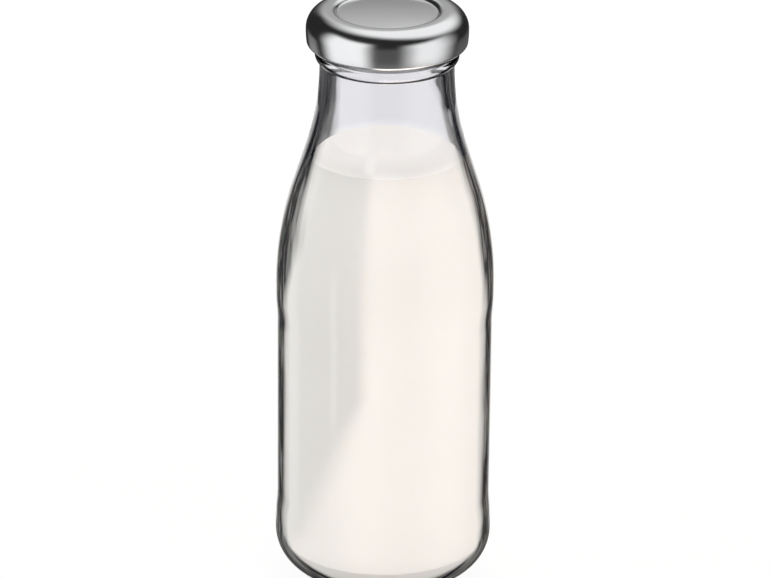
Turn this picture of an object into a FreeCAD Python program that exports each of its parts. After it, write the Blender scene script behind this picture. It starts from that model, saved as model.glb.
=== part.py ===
"""A glass milk bottle for a third of a litre, with a pressed twist-off cap, filled with milk.

The bottle stands on the ring of its foot. Its frame has +Z up, and the origin is the centre of that ring,
in the plane that the bottle stands on. All sizes are in millimetres, and every piece is turned about Z.
"""

import FreeCAD, Part
import math
import os

import Sketcher

os.makedirs("parts", exist_ok=True)
doc = FreeCAD.newDocument("milk_bottle")

# ---------------------------------------------------------------------------------------------------------
# Driving dimensions
# ---------------------------------------------------------------------------------------------------------
SIZES = {
    # Heights of the whole. The finish, the neck, the shoulder and the milk are set down from the rim, and
    # the panel takes up what is left above the heel.
    "rim_height": 169.8,
    "bead_drop": 12.1,  # from the rim to the middle of the bead below the cap
    "neck_straight": 3.7,  # from the end of the neck's flare up to the middle of the bead
    "shoulder_rise": 65.2,  # from the body up to the straight neck
    "headspace": 41.8,  # from the rim to the milk
    # Widths of the whole. The finish and the bead are set out from the neck.
    "body_width": 62.3,  # across both bands
    "neck_width": 37.85,
    "bead_reach": 1.325,
    "finish_step": 0.975,  # out to the wall that carries the thread
    # Between the body and the neck: a bulging curve, a straight slope and a hollow curve
    "slope_length": 12.6,
    "shoulder_share": 0.57,  # of the two curves' radii added up, the bulging one's part
    # Body. Two bands stand proud of the panel between them, so that bottles on a filling line touch there.
    "heel_round": 11.2,  # radius of the heel
    "heel_band": 4.6,  # height of the band above the heel
    "band_blend": 8.2,  # height over which a band fades into the panel
    "shoulder_band": 3.1,  # height of the band under the shoulder
    "panel_recess": 0.36,  # how far the panel lies inside the bands
    # Foot
    "foot_ring": 1.4,  # width of the flat ring that the bottle stands on
    "push_up": 2.6,  # height of the dome under the bottle
    # Finish
    "bead_round": 2.0,
    "bead_corner": 0.6,  # fillets where the bead meets the neck and the finish
    "thread_depth": 1.4,  # room for the thread on the finish
    "rim_round": 1.2,
    # Inside of the glass
    "body_wall": 2.45,
    "neck_wall": 2.55,
    "base_wall": 4.0,  # at the top of the dome
    "floor_height": 4.4,  # lowest point of the cavity
    "floor_round": 8.8,  # radius of the cavity's corner above the heel
    # Cap, pressed from thin sheet
    "tin": 0.2,  # thickness of the sheet
    "cap_height": 10.1,
    "cap_clearance": 1.3,  # between the thread and the cap's skirt
    "ring_crest": 1.475,  # flat width on top of the cap's raised ring; its shoulder rounds the rest
    "panel_clearance": 0.55,  # between the bore and the side of the cap's sunken panel
    "panel_depth": 1.1,
    "panel_corner": 0.6,  # radius at the foot of the panel's side
    "crest_round": 1.6,  # radius at the top of the panel's side
    "hem_round": 1.0,  # outer radius of the hem that is rolled in at the skirt's edge
    "lug_count": 4,
    "lug_clearance": 0.5,  # between a lug's tip and the finish
    "lug_thick": 1.0,
    "lug_angle": 24,  # how far round the cap a lug reaches, in degrees
    # Seal, cast into the cap's raised ring
    "seal_thick": 0.9,
    "seal_lap": 0.15,  # how far the seal reaches past the rim, over the bore
}

sizes = doc.addObject("Spreadsheet::Sheet", "sizes")
for row, (alias, number) in enumerate(SIZES.items(), start=1):
    sizes.set(f"A{row}", alias)
    sizes.set(f"B{row}", str(number))
    sizes.setAlias(f"B{row}", alias)
doc.recompute()

# Heights and radii that several pieces share, as formulas of the sheet's cells
BEAD_HEIGHT = "(sizes.rim_height - sizes.bead_drop)"
NECK_START = f"({BEAD_HEIGHT} - sizes.neck_straight)"
SHOULDER_START = f"({NECK_START} - sizes.shoulder_rise)"
FLOOR_TOP = "(sizes.push_up + sizes.base_wall)"
MILK_LEVEL = "(sizes.rim_height - sizes.headspace)"
BAND_RADIUS = "(sizes.body_width / 2)"
PANEL_RADIUS = f"({BAND_RADIUS} - sizes.panel_recess)"
CAVITY_RADIUS = f"({PANEL_RADIUS} - sizes.body_wall)"
NECK_RADIUS = "(sizes.neck_width / 2)"
BORE_RADIUS = f"({NECK_RADIUS} - sizes.neck_wall)"
BEAD_CENTRE = f"({NECK_RADIUS} + sizes.bead_reach - sizes.bead_round)"
FINISH_RADIUS = f"({NECK_RADIUS} + sizes.finish_step)"
CAP_TOP = "(sizes.rim_height + sizes.seal_thick + sizes.tin)"
CAP_RADIUS = f"({FINISH_RADIUS} + sizes.thread_depth + sizes.cap_clearance + sizes.tin)"
CREST_START = f"({BORE_RADIUS} - sizes.panel_clearance)"  # inner edge of the cap's raised ring
RING_RADIUS = f"({CREST_START} + sizes.ring_crest)"  # outer edge of that ring's flat crest
CAP_SHOULDER = f"({CAP_RADIUS} - {RING_RADIUS})"  # outer radius between the ring and the skirt
RING_CENTRE = f"({CAP_TOP} - {CAP_SHOULDER})"
HEM_RADIUS = f"({CAP_RADIUS} - sizes.hem_round)"  # middle of the rolled hem
HEM_HEIGHT = f"({CAP_TOP} - sizes.cap_height + sizes.hem_round)"
LUG_TIP = f"({FINISH_RADIUS} + sizes.lug_clearance)"


def value_of(formula):
    """What a formula of the sheet's cells comes to now."""
    return float(doc.getObject("sizes").evalExpression(formula))


# ---------------------------------------------------------------------------------------------------------
# Drawing half sections
# ---------------------------------------------------------------------------------------------------------
START, END, CENTRE = 1, 2, 3  # the points of a sketch's line or arc, as constraints name them
LEVEL_AXIS = -1  # the sketch's own axes; the START of the level one is the sketch's origin
TURNING_AXIS = -2


def plane_of(body, role):
    """The body's own origin plane with this role."""
    for feature in body.Origin.OriginFeatures:
        if feature.Role == role:
            return feature
    raise ValueError(role)


class Outline:
    """A closed half section of a turned piece: a chain of lines and arcs, drawn from point to point.

    Sketch X is the radius and sketch Y the height. The drawing calls give each piece's index in the sketch.
    A line runs from its START to its END in the order drawn. An arc's START and END go anticlockwise.
    """

    def __init__(self, body, name, first_point):
        self.sketch = body.newObject("Sketcher::SketchObject", name)
        self.sketch.AttachmentSupport = (plane_of(body, "XZ_Plane"), "")
        self.sketch.MapMode = "FlatFace"
        self.pieces = []  # each as (index, its first end, its last end), in the order drawn
        self.at = FreeCAD.Vector(*first_point, 0)

    def constrain(self, *arguments):
        return self.sketch.addConstraint(Sketcher.Constraint(*arguments))

    def bind(self, name, formula, kind, *arguments):
        """Adds a dimension with a name and ties it to the sheet."""
        index = self.constrain(kind, *arguments, value_of(formula))
        self.sketch.renameConstraint(index, name)
        self.sketch.setExpression(f"Constraints.{name}", formula)

    def _add(self, geometry, first, last, smooth):
        index = self.sketch.addGeometry(geometry, False)
        if self.pieces:
            before, _, before_last = self.pieces[-1]
            self.constrain("Tangent" if smooth else "Coincident", before, before_last, index, first)
        self.pieces.append((index, first, last))
        return index

    def line(self, radius, height, smooth=False):
        """A line to a point, tangent to the piece before it if smooth."""
        end = FreeCAD.Vector(radius, height, 0)
        index = self._add(Part.LineSegment(self.at, end), START, END, smooth)
        self.at = end
        return index

    def arc(self, centre, radius, height, turn, smooth=True):
        """An arc about a centre to a point, anticlockwise where turn is 1 and clockwise where it is -1."""
        begin = self.at
        end = FreeCAD.Vector(radius, height, 0)
        middle = FreeCAD.Vector(*centre, 0)
        from_point, to_point = (begin, end) if turn > 0 else (end, begin)
        from_angle = math.atan2(from_point.y - middle.y, from_point.x - middle.x)
        to_angle = math.atan2(to_point.y - middle.y, to_point.x - middle.x)
        if to_angle < from_angle:
            to_angle += 2 * math.pi
        circle = Part.Circle(middle, FreeCAD.Vector(0, 0, 1), (begin - middle).Length)
        first, last = (START, END) if turn > 0 else (END, START)
        index = self._add(Part.ArcOfCircle(circle, from_angle, to_angle), first, last, smooth)
        self.at = end
        return index

    def close(self):
        """Joins the last piece to the first."""
        last_index, _, last_end = self.pieces[-1]
        first_index, first_end, _ = self.pieces[0]
        self.constrain("Coincident", last_index, last_end, first_index, first_end)

    def radius_at(self, name, index, point, formula):
        self.bind(name, formula, "DistanceX", LEVEL_AXIS, START, index, point)

    def height_at(self, name, index, point, formula):
        self.bind(name, formula, "DistanceY", LEVEL_AXIS, START, index, point)

    def on_axis(self, index, point):
        self.constrain("PointOnObject", index, point, TURNING_AXIS)


def revolved(body, outline, name, kind="PartDesign::Revolution"):
    """Turns an outline about Z, as a solid or, for a Groove, as a cut."""
    feature = body.newObject(kind, name)
    feature.Profile = outline.sketch
    feature.ReferenceAxis = (outline.sketch, ["V_Axis"])
    feature.Angle = 360
    outline.sketch.Visibility = False
    return feature


def new_body(label):
    body = doc.addObject("PartDesign::Body", label)
    body.Label = label
    body.Placement = FreeCAD.Placement()
    return body


# ---------------------------------------------------------------------------------------------------------
# Glass
# ---------------------------------------------------------------------------------------------------------
def slope_lean(low_radius, high_radius):
    """The slope's angle from upright, as a formula: both curves turn by it over the rise and the step in."""
    return f"(2 * atan(({low_radius} - {high_radius}) / (sizes.shoulder_rise + sizes.slope_length)))"


def curve_radii(low_radius, high_radius):
    """The radii of the bulging and the hollow curve added up, as a formula."""
    lean = slope_lean(low_radius, high_radius)
    return f"((sizes.shoulder_rise - sizes.slope_length * cos({lean})) / sin({lean}))"


def draw_blend(outline, to_radius, to_height, turn):
    """Two equal arcs that carry a vertical wall over to another radius, ending vertical again."""
    start = outline.at
    step = to_radius - start.x
    rise = to_height - start.y
    bend = 2 * math.atan(abs(step) / rise)
    round_radius = rise / (2 * math.sin(bend))
    side = -turn * round_radius
    first = outline.arc((start.x + side, start.y), start.x + step / 2, start.y + rise / 2, turn)
    last = outline.arc((to_radius - side, to_height), to_radius, to_height, -turn)
    outline.constrain("Equal", first, last)


def draw_shoulder(outline, low_radius, high_radius):
    """The curve in from the body, the straight slope and the flare up to the neck, between two radii."""
    lean = math.radians(value_of(slope_lean(low_radius, high_radius)))
    radii = curve_radii(low_radius, high_radius)
    bulge_round = value_of(f"{radii} * sizes.shoulder_share")
    flare_round = value_of(f"{radii} * (1 - sizes.shoulder_share)")
    low = (value_of(low_radius), value_of(SHOULDER_START))
    high = (value_of(high_radius), value_of(NECK_START))
    bulge_centre = (low[0] - bulge_round, low[1])
    flare_centre = (high[0] + flare_round, high[1])
    slope_foot = (
        bulge_centre[0] + bulge_round * math.cos(lean),
        bulge_centre[1] + bulge_round * math.sin(lean),
    )
    slope_head = (
        flare_centre[0] - flare_round * math.cos(lean),
        flare_centre[1] - flare_round * math.sin(lean),
    )
    bulge = outline.arc(bulge_centre, *slope_foot, turn=1)
    slope = outline.line(*slope_head, smooth=True)
    outline.arc(flare_centre, *high, turn=-1)
    outline.bind("shoulder_round", f"{radii} * sizes.shoulder_share", "Radius", bulge)
    outline.bind("slope_length", "sizes.slope_length", "Distance", slope)


def draw_cavity(body):
    """The half section of the inside of the glass, from its floor to the rim."""
    rim = value_of("sizes.rim_height")
    floor_top = value_of(FLOOR_TOP)
    floor_low = value_of("sizes.floor_height")
    corner = value_of("sizes.floor_round")
    wall = value_of(CAVITY_RADIUS)
    bore = value_of(BORE_RADIUS)
    lip = value_of("sizes.rim_round")

    # The floor's dome touches the corner's arc from outside.
    corner_centre = (wall - corner, floor_low + corner)
    drop = corner_centre[1] - floor_top
    dome = (corner_centre[0] ** 2 + drop**2 - corner**2) / (2 * (corner - drop))
    dome_centre = (0, floor_top - dome)
    share = dome / (dome + corner)
    touch = (corner_centre[0] * share, dome_centre[1] + (corner_centre[1] - dome_centre[1]) * share)

    outline = Outline(body, "cavity_outline", (0, rim))
    axis = outline.line(0, floor_top)
    floor = outline.arc(dome_centre, *touch, turn=-1, smooth=False)
    heel = outline.arc(corner_centre, wall, corner_centre[1], turn=1)
    side = outline.line(wall, value_of(SHOULDER_START), smooth=True)
    draw_shoulder(outline, CAVITY_RADIUS, BORE_RADIUS)
    throat = outline.line(bore, rim - lip, smooth=True)
    mouth = outline.arc((bore + lip, rim - lip), bore + lip, rim, turn=-1)
    top = outline.line(0, rim, smooth=True)
    outline.close()

    outline.on_axis(axis, START)
    outline.on_axis(axis, END)
    outline.height_at("rim_height", axis, START, "sizes.rim_height")
    outline.height_at("floor_top", axis, END, FLOOR_TOP)
    outline.on_axis(floor, CENTRE)
    outline.bind("floor_round", "sizes.floor_round", "Radius", heel)
    outline.height_at("floor_centre", heel, CENTRE, "sizes.floor_height + sizes.floor_round")
    outline.constrain("Vertical", side)
    outline.radius_at("cavity_radius", side, END, CAVITY_RADIUS)
    outline.height_at("shoulder_start", side, END, SHOULDER_START)
    outline.constrain("Vertical", throat)
    outline.radius_at("bore_radius", throat, START, BORE_RADIUS)
    outline.height_at("neck_start", throat, START, NECK_START)
    outline.bind("rim_round", "sizes.rim_round", "Radius", mouth)
    outline.constrain("Horizontal", top)
    return outline


def draw_outside(body):
    """The half section of the bottle as if it were solid."""
    rim = value_of("sizes.rim_height")
    lip = value_of("sizes.rim_round")
    band = value_of(BAND_RADIUS)
    panel = value_of(PANEL_RADIUS)
    heel_round = value_of("sizes.heel_round")
    foot = band - heel_round
    foot_inside = foot - value_of("sizes.foot_ring")
    push_up = value_of("sizes.push_up")
    heel_top = heel_round + value_of("sizes.heel_band")
    blend = value_of("sizes.band_blend")
    shoulder_start = value_of(SHOULDER_START)
    band_foot = shoulder_start - value_of("sizes.shoulder_band")
    neck = value_of(NECK_RADIUS)
    finish = value_of(FINISH_RADIUS)
    bead_height = value_of(BEAD_HEIGHT)
    bead_round = value_of("sizes.bead_round")
    bead_centre = value_of(BEAD_CENTRE)
    bead_foot = bead_height - math.sqrt(bead_round**2 - (neck - bead_centre) ** 2)
    bead_top = bead_height + math.sqrt(bead_round**2 - (finish - bead_centre) ** 2)
    dome = (foot_inside**2 + push_up**2) / (2 * push_up)

    outline = Outline(body, "outside_outline", (0, rim))
    axis = outline.line(0, push_up)
    punt = outline.arc((0, push_up - dome), foot_inside, 0, turn=-1, smooth=False)
    ring = outline.line(foot, 0)
    heel = outline.arc((foot, heel_round), band, heel_round, turn=1)
    heel_band = outline.line(band, heel_top, smooth=True)
    draw_blend(outline, panel, heel_top + blend, turn=1)
    side = outline.line(panel, band_foot - blend, smooth=True)
    draw_blend(outline, band, band_foot, turn=-1)
    shoulder_band = outline.line(band, shoulder_start, smooth=True)
    draw_shoulder(outline, BAND_RADIUS, NECK_RADIUS)
    throat = outline.line(neck, bead_foot, smooth=True)
    bead = outline.arc((bead_centre, bead_height), finish, bead_top, turn=1, smooth=False)
    wall = outline.line(finish, rim - lip)
    lip_arc = outline.arc((finish - lip, rim - lip), finish - lip, rim, turn=1)
    top = outline.line(0, rim, smooth=True)
    outline.close()

    outline.on_axis(axis, START)
    outline.on_axis(axis, END)
    outline.height_at("rim_height", axis, START, "sizes.rim_height")
    outline.height_at("push_up", axis, END, "sizes.push_up")
    outline.on_axis(punt, CENTRE)
    outline.constrain("PointOnObject", ring, START, LEVEL_AXIS)
    outline.constrain("PointOnObject", ring, END, LEVEL_AXIS)
    outline.bind("foot_ring", "sizes.foot_ring", "DistanceX", ring, START, ring, END)
    outline.bind("heel_round", "sizes.heel_round", "Radius", heel)
    outline.constrain("Vertical", heel_band)
    outline.radius_at("heel_radius", heel_band, START, BAND_RADIUS)
    outline.bind("heel_band", "sizes.heel_band", "DistanceY", heel_band, START, heel_band, END)
    outline.constrain("Vertical", side)
    outline.radius_at("panel_radius", side, START, PANEL_RADIUS)
    outline.bind("heel_blend", "sizes.band_blend", "DistanceY", heel_band, END, side, START)
    outline.bind("shoulder_blend", "sizes.band_blend", "DistanceY", side, END, shoulder_band, START)
    outline.constrain("Vertical", shoulder_band)
    outline.radius_at("shoulder_radius", shoulder_band, START, BAND_RADIUS)
    band = shoulder_band
    outline.bind("shoulder_band", "sizes.shoulder_band", "DistanceY", band, START, band, END)
    outline.height_at("shoulder_start", shoulder_band, END, SHOULDER_START)
    outline.constrain("Vertical", throat)
    outline.radius_at("neck_radius", throat, START, NECK_RADIUS)
    outline.height_at("neck_start", throat, START, NECK_START)
    outline.bind("bead_round", "sizes.bead_round", "Radius", bead)
    outline.radius_at("bead_centre", bead, CENTRE, BEAD_CENTRE)
    outline.height_at("bead_height", bead, CENTRE, BEAD_HEIGHT)
    outline.constrain("Vertical", wall)
    outline.radius_at("finish_radius", wall, START, FINISH_RADIUS)
    outline.bind("rim_round", "sizes.rim_round", "Radius", lip_arc)
    outline.constrain("Horizontal", top)
    return outline


def bead_edges(shape):
    """The names of the circles where the bead meets the neck and the finish."""
    middle = value_of(BEAD_HEIGHT)
    reach = value_of("sizes.bead_round")
    radii = [value_of(NECK_RADIUS), value_of(FINISH_RADIUS)]
    names = []
    for number, edge in enumerate(shape.Edges, start=1):
        if edge.Degenerated or edge.Curve.TypeId != "Part::GeomCircle":
            continue
        if abs(edge.Curve.Center.z - middle) > reach:
            continue
        if any(math.isclose(edge.Curve.Radius, radius, abs_tol=1e-5) for radius in radii):
            names.append(f"Edge{number}")
    return names


def make_bottle():
    """The glass: its outside turned solid, then hollowed by its cavity, with the bead's corners rounded."""
    body = new_body("bottle")
    revolved(body, draw_outside(body), "outside")
    cavity = revolved(body, draw_cavity(body), "cavity", "PartDesign::Groove")
    doc.recompute()
    corners = body.newObject("PartDesign::Fillet", "bead_corners")
    corners.Base = (cavity, bead_edges(cavity.Shape))
    corners.setExpression("Radius", "sizes.bead_corner")
    return body


# ---------------------------------------------------------------------------------------------------------
# Milk
# ---------------------------------------------------------------------------------------------------------
def make_milk():
    """The milk: all that the cavity holds, cut off level."""
    body = new_body("milk")
    revolved(body, draw_cavity(body), "contents")

    level = value_of(MILK_LEVEL)
    rim = value_of("sizes.rim_height")
    reach = value_of(BAND_RADIUS)
    outline = Outline(body, "above_level", (0, level))
    surface = outline.line(reach, level)
    side = outline.line(reach, rim)
    top = outline.line(0, rim)
    axis = outline.line(0, level)
    outline.close()
    outline.on_axis(axis, START)
    outline.on_axis(axis, END)
    outline.constrain("Horizontal", surface)
    outline.constrain("Vertical", side)
    outline.constrain("Horizontal", top)
    outline.height_at("milk_level", surface, START, MILK_LEVEL)
    outline.height_at("rim_height", top, END, "sizes.rim_height")
    outline.radius_at("reach", side, START, BAND_RADIUS)
    revolved(body, outline, "headspace", "PartDesign::Groove")
    return body


# ---------------------------------------------------------------------------------------------------------
# Cap and seal
# ---------------------------------------------------------------------------------------------------------
def draw_cap(body):
    """The half section of the pressed sheet: sunken panel, raised ring, skirt and rolled hem."""
    tin = value_of("sizes.tin")
    top = value_of(CAP_TOP)
    outer = value_of(CAP_RADIUS)
    ring = value_of(RING_RADIUS)
    ring_centre = value_of(RING_CENTRE)
    crest_start = value_of(CREST_START)
    depth = value_of("sizes.panel_depth")
    corner = value_of("sizes.panel_corner")
    crest = value_of("sizes.crest_round")
    hem = value_of("sizes.hem_round")
    hem_middle = (value_of(HEM_RADIUS), value_of(HEM_HEIGHT))

    # The panel's side is two arcs, one hollow and one bulging, that meet where both lean alike.
    lean = math.acos(1 - depth / (corner + crest))
    panel = crest_start - (corner + crest) * math.sin(lean)
    crest_middle = (crest_start, top - crest)
    corner_middle = (panel, top - depth + corner)
    bend = (corner_middle[0] + corner * math.sin(lean), corner_middle[1] - corner * math.cos(lean))
    bend_inside = (bend[0] + tin * math.sin(lean), bend[1] - tin * math.cos(lean))

    outline = Outline(body, "cap_outline", (0, top - depth))
    face = outline.line(panel, top - depth)
    foot = outline.arc(corner_middle, *bend, turn=1)
    rise = outline.arc(crest_middle, crest_start, top, turn=-1)
    crown = outline.line(ring, top, smooth=True)
    shoulder = outline.arc((ring, ring_centre), outer, ring_centre, turn=-1)
    skirt = outline.line(outer, hem_middle[1], smooth=True)
    roll = outline.arc(hem_middle, hem_middle[0], hem_middle[1] + hem, turn=-1)
    edge = outline.line(hem_middle[0], hem_middle[1] + hem - tin)
    roll_inside = outline.arc(hem_middle, outer - tin, hem_middle[1], turn=1, smooth=False)
    skirt_inside = outline.line(outer - tin, ring_centre, smooth=True)
    shoulder_inside = outline.arc((ring, ring_centre), ring, top - tin, turn=1)
    crown_inside = outline.line(crest_start, top - tin, smooth=True)
    rise_inside = outline.arc(crest_middle, *bend_inside, turn=1)
    foot_inside = outline.arc(corner_middle, panel, top - depth - tin, turn=-1)
    face_inside = outline.line(0, top - depth - tin, smooth=True)
    axis = outline.line(0, top - depth)
    outline.close()

    outline.on_axis(axis, START)
    outline.on_axis(axis, END)
    outline.constrain("Horizontal", face)
    outline.height_at("panel_height", face, START, f"{CAP_TOP} - sizes.panel_depth")
    outline.bind("panel_corner", "sizes.panel_corner", "Radius", foot)
    outline.bind("crest_round", "sizes.crest_round", "Radius", rise)
    outline.constrain("Horizontal", crown)
    outline.height_at("cap_top", crown, START, CAP_TOP)
    outline.radius_at("crest_start", crown, START, CREST_START)
    outline.bind("cap_shoulder", CAP_SHOULDER, "Radius", shoulder)
    outline.constrain("Vertical", skirt)
    outline.radius_at("cap_radius", skirt, START, CAP_RADIUS)
    outline.bind("hem_round", "sizes.hem_round", "Radius", roll)
    outline.height_at("hem_height", roll, CENTRE, HEM_HEIGHT)
    outline.constrain("Vertical", edge)
    outline.constrain("Vertical", roll, CENTRE, roll, START)
    outline.constrain("Coincident", roll, CENTRE, roll_inside, CENTRE)
    outline.constrain("Vertical", skirt_inside)
    outline.radius_at("skirt_inside", skirt_inside, START, f"{CAP_RADIUS} - sizes.tin")
    outline.constrain("Coincident", shoulder, CENTRE, shoulder_inside, CENTRE)
    outline.constrain("Horizontal", crown_inside)
    outline.constrain("Coincident", rise, CENTRE, rise_inside, CENTRE)
    outline.constrain("Coincident", foot, CENTRE, foot_inside, CENTRE)
    outline.constrain("Horizontal", face_inside)
    return outline


def draw_lug(body):
    """The half section of a lug: the hem pressed flat and inward, with a rounded tip under the thread."""
    hem_radius = value_of(HEM_RADIUS)
    hem_height = value_of(HEM_HEIGHT)
    half = value_of("sizes.lug_thick / 2")
    tip = value_of(LUG_TIP)
    outline = Outline(body, "lug_outline", (hem_radius, hem_height + half))
    above = outline.line(tip + half, hem_height + half)
    nose = outline.arc((tip + half, hem_height), tip + half, hem_height - half, turn=1)
    below = outline.line(hem_radius, hem_height - half, smooth=True)
    root = outline.line(hem_radius, hem_height + half)
    outline.close()
    outline.constrain("Horizontal", above)
    outline.constrain("Horizontal", below)
    outline.constrain("Vertical", root)
    outline.bind("lug_half", "sizes.lug_thick / 2", "Radius", nose)
    outline.radius_at("lug_tip", nose, CENTRE, f"{LUG_TIP} + sizes.lug_thick / 2")
    outline.height_at("lug_height", nose, CENTRE, HEM_HEIGHT)
    outline.radius_at("lug_root", root, START, HEM_RADIUS)
    return outline


def make_cap():
    """The twist-off cap: one pressing, with lugs that turn in under the bottle's thread."""
    body = new_body("cap")
    revolved(body, draw_cap(body), "pressing")
    lug = revolved(body, draw_lug(body), "lug")
    lug.Midplane = True
    lug.setExpression("Angle", "sizes.lug_angle * 1 deg")
    doc.recompute()
    lugs = body.newObject("PartDesign::PolarPattern", "lugs")
    lugs.Originals = [lug]
    lugs.Axis = (lug.Profile[0], ["V_Axis"])
    lugs.Angle = 360
    lugs.setExpression("Occurrences", "sizes.lug_count")
    body.Tip = lugs
    return body


def make_seal():
    """The soft ring that fills the cap's raised ring above the rim."""
    body = new_body("seal")
    rim = value_of("sizes.rim_height")
    inner = value_of(f"{BORE_RADIUS} - sizes.seal_lap")
    ring = value_of(RING_RADIUS)
    ring_centre = value_of(RING_CENTRE)
    inside = value_of(f"{CAP_SHOULDER} - sizes.tin")
    outer = ring + math.sqrt(inside**2 - (rim - ring_centre) ** 2)
    outline = Outline(body, "seal_outline", (inner, rim))
    face = outline.line(outer, rim)
    back = outline.arc((ring, ring_centre), ring, ring_centre + inside, turn=1, smooth=False)
    crown = outline.line(inner, ring_centre + inside, smooth=True)
    edge = outline.line(inner, rim)
    outline.close()
    outline.constrain("Horizontal", face)
    outline.height_at("rim_height", face, START, "sizes.rim_height")
    outline.radius_at("seal_inner", face, START, f"{BORE_RADIUS} - sizes.seal_lap")
    outline.bind("seal_back", f"{CAP_SHOULDER} - sizes.tin", "Radius", back)
    outline.radius_at("ring_radius", back, CENTRE, RING_RADIUS)
    outline.height_at("ring_centre", back, CENTRE, RING_CENTRE)
    outline.constrain("Horizontal", crown)
    outline.constrain("Vertical", edge)
    revolved(body, outline, "ring")
    return body


# ---------------------------------------------------------------------------------------------------------
# Build, check and write
# ---------------------------------------------------------------------------------------------------------
bodies = [make_bottle(), make_milk(), make_cap(), make_seal()]
doc.recompute()

for thing in doc.Objects:
    faults = {"Invalid", "Error"} & set(thing.State)
    if faults:
        raise RuntimeError(f"{thing.Name}: {thing.State}")
for body in bodies:
    if body.Shape.isNull() or not body.Shape.isValid() or len(body.Shape.Solids) != 1:
        raise RuntimeError(f"{body.Label} is not one valid solid")
for body in bodies:
    body.Shape.exportStep(f"parts/{body.Label}.step")
    box = body.Shape.BoundBox
    litres = body.Shape.Volume / 1e6
    print(f"{body.Label}: {litres:.4f} l, z {box.ZMin:.2f} to {box.ZMax:.2f}, width {box.XLength:.2f}")
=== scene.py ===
"""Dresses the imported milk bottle: clear glass, milk and a satin metal cap, on a white table.

Every turned piece is a half section, a chain of (radius, height) points, spun about Z into a mesh of rings.
Lengths are in metres. The bottle stands at the origin, and the front faces -Y.
"""

import math

import bpy
from mathutils import Euler, Matrix, Vector


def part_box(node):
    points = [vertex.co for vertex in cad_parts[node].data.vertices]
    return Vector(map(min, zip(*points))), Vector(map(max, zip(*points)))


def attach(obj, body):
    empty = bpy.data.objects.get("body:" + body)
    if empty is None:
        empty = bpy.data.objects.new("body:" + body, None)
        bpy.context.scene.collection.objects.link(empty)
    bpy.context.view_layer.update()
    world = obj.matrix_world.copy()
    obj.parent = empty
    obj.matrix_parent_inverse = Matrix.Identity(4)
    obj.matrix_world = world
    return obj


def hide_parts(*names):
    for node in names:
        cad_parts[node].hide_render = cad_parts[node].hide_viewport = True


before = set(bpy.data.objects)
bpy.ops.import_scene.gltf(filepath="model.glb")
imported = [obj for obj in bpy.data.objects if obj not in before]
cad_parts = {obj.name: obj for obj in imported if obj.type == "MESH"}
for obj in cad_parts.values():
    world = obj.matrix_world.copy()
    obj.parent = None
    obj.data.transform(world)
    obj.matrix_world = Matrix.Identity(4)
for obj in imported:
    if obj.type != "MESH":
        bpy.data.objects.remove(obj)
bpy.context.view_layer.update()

MM = 0.001

# ---------------------------------------------------------------------------------------------------------
# Sizes
# ---------------------------------------------------------------------------------------------------------


def reach(node):
    """How far a turned node reaches from the axis, taken where its facets reach least."""
    low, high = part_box(node)
    return min(high.x - low.x, high.y - low.y) / 2


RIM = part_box("bottle")[1].z
BAND_RADIUS = reach("bottle")
MILK_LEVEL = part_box("milk")[1].z
FLOOR_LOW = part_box("milk")[0].z
CAVITY_RADIUS = reach("milk")
CAP_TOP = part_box("cap")[1].z
CAP_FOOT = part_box("cap")[0].z
CAP_RADIUS = reach("cap")

# Outside of the glass, from the foot up
FOOT_RING = 1.4 * MM
PUSH_UP = 2.6 * MM
HEEL_ROUND = 11.2 * MM
HEEL_BAND = 4.6 * MM
BAND_BLEND = 8.2 * MM
SHOULDER_BAND = 3.1 * MM
PANEL_RECESS = 0.36 * MM
SHOULDER_RISE = 65.2 * MM
SLOPE_LENGTH = 12.6 * MM
SHOULDER_SHARE = 0.57  # of the two shoulder curves' radii added up, the bulging one's part
NECK_STRAIGHT = 3.7 * MM
NECK_RADIUS = 18.925 * MM
BEAD_DROP = 12.1 * MM  # from the rim to the bead's middle
BEAD_REACH = 1.325 * MM
BEAD_ROUND = 2.0 * MM
BEAD_CORNER = 0.6 * MM
FINISH_STEP = 0.975 * MM
RIM_ROUND = 1.2 * MM

PANEL_RADIUS = BAND_RADIUS - PANEL_RECESS
BEAD_HEIGHT = RIM - BEAD_DROP
BEAD_CENTRE = NECK_RADIUS + BEAD_REACH - BEAD_ROUND
NECK_START = BEAD_HEIGHT - NECK_STRAIGHT
SHOULDER_START = NECK_START - SHOULDER_RISE
FINISH_RADIUS = NECK_RADIUS + FINISH_STEP

# Inside of the glass
NECK_WALL = 2.55 * MM
BASE_WALL = 4.0 * MM
FLOOR_ROUND = 8.8 * MM
BORE_RADIUS = NECK_RADIUS - NECK_WALL
FLOOR_TOP = PUSH_UP + BASE_WALL
UNEVENNESS = 0.05 * MM
UNEVEN_STRETCH = (60 * MM, 110 * MM, RIM - 9 * MM, RIM - 3 * MM)

# Thread on the finish: four ramps that the cap's lugs ride under
THREAD_STARTS = 4
THREAD_DEPTH = 1.25 * MM
THREAD_HALF_WIDTH = 0.95 * MM
THREAD_TOP = RIM - 2.6 * MM
THREAD_DROP = 3.4 * MM  # from the head of a ramp to its foot
THREAD_TURN = 0.86  # share of a quarter turn that a ramp takes
THREAD_FULLNESS = 0.75  # 0.5 would give a half round and 1 a parabola

# Milk
MILK_BITE = 0.1 * MM  # how far the milk reaches into the glass
MENISCUS_RISE = 0.12 * MM
MENISCUS_REACH = 1.6 * MM
MENISCUS_FADE = 0.32 * MENISCUS_REACH  # this far from the wall about a third of the rise is left
MENISCUS_LIP = 0.15 * MM  # from the milk's edge down to the next ring
WALL_STOP = 0.5 * MM  # the milk takes the cavity's own rings up to this far under its level

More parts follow.
